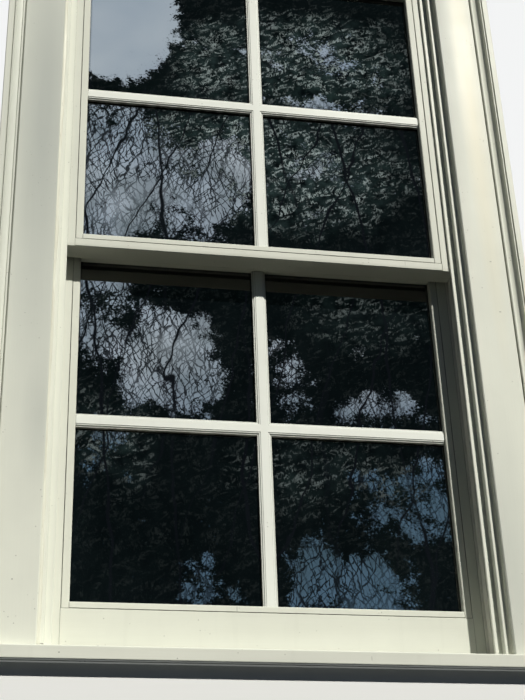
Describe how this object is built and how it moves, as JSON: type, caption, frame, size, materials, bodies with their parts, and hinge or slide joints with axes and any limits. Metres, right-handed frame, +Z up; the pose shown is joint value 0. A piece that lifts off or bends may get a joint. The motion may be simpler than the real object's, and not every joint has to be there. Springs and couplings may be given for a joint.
{
  "type": "sash window",
  "caption": "Double-hung sash window in its painted frame: two sliding sashes with glazing bars, flat casing with moulded backband, sloping sill, balances and a cam lock.",
  "frame": {"origin": "on the flat underside of the sill, below the middle of the lower sash's street face", "axes": "+X right as seen from the street, +Y into the room, +Z up"},
  "size_m": [0.902, 0.154, 1.4247],
  "materials": {
    "painted_trim": "satin off-white paint",
    "painted_sill": "satin off-white paint",
    "painted_sash": "satin off-white paint",
    "painted_track": "satin off-white paint",
    "liner": "matte",
    "glass": "clear",
    "spacer_bar": "mill",
    "balance_steel": "zinc",
    "seal": "matte",
    "hardware": "satin nickel"
  },
  "bodies": {
    "frame": {"sill": "painted_sill", "jamb_left": "painted_trim", "jamb_right": "painted_trim", "head_jamb": "painted_trim", "track_left": "painted_track", "track_right": "painted_track", "track_head": "painted_track", "casing_left": "painted_trim", "casing_right": "painted_trim", "casing_head": "painted_trim", "backband_left": "painted_trim", "backband_right": "painted_trim", "backband_head": "painted_trim", "room_stop_left": "painted_trim", "room_stop_right": "painted_trim", "room_stop_head": "painted_trim", "liner_left": "liner", "liner_right": "liner", "lower_balance_tube_left": "balance_steel", "lower_balance_tube_right": "balance_steel", "upper_balance_tube_left": "balance_steel", "upper_balance_tube_right": "balance_steel"},
    "lower_sash": {"lower_stile_left": "painted_sash", "lower_stile_right": "painted_sash", "lower_meeting_rail": "painted_sash", "lower_bead_left": "painted_sash", "lower_bead_right": "painted_sash", "lower_bead_bottom": "painted_sash", "lower_bead_top": "painted_sash", "lower_bar_upright": "painted_sash", "lower_bar_left": "painted_sash", "lower_bar_right": "painted_sash", "lower_inner_grille": "painted_sash", "lower_glass": "glass", "lower_spacer": "spacer_bar", "lower_balance_rod_left": "balance_steel", "lower_balance_rod_right": "balance_steel", "lower_bottom_rail": "painted_sash", "sill_seal": "seal", "meeting_seal": "seal", "lock_base": "hardware", "sash_lift": "hardware"},
    "upper_sash": {"upper_stile_left": "painted_sash", "upper_stile_right": "painted_sash", "upper_meeting_rail": "painted_sash", "upper_bead_left": "painted_sash", "upper_bead_right": "painted_sash", "upper_bead_bottom": "painted_sash", "upper_bead_top": "painted_sash", "upper_bar_upright": "painted_sash", "upper_bar_left": "painted_sash", "upper_bar_right": "painted_sash", "upper_inner_grille": "painted_sash", "upper_glass": "glass", "upper_spacer": "spacer_bar", "upper_balance_rod_left": "balance_steel", "upper_balance_rod_right": "balance_steel", "upper_top_rail": "painted_sash", "keeper": "hardware"},
    "lock_cam": {"lock_cam": "hardware"}
  },
  "joints": [
    {"name": "lower_sash_slide", "type": "slide", "parent": "frame", "child": "lower_sash", "axis": [0, 0, 1], "range_m": [0, 0.54]},
    {"name": "upper_sash_slide", "type": "slide", "parent": "frame", "child": "upper_sash", "axis": [0, 0, 1], "range_m": [-0.54, 0]},
    {"name": "lock_turn", "type": "hinge", "parent": "lower_sash", "child": "lock_cam", "pos_m": [0.045, 0.011, 0.71384], "axis": [0, 0, 1], "range_deg": [0, 180]}
  ]
}
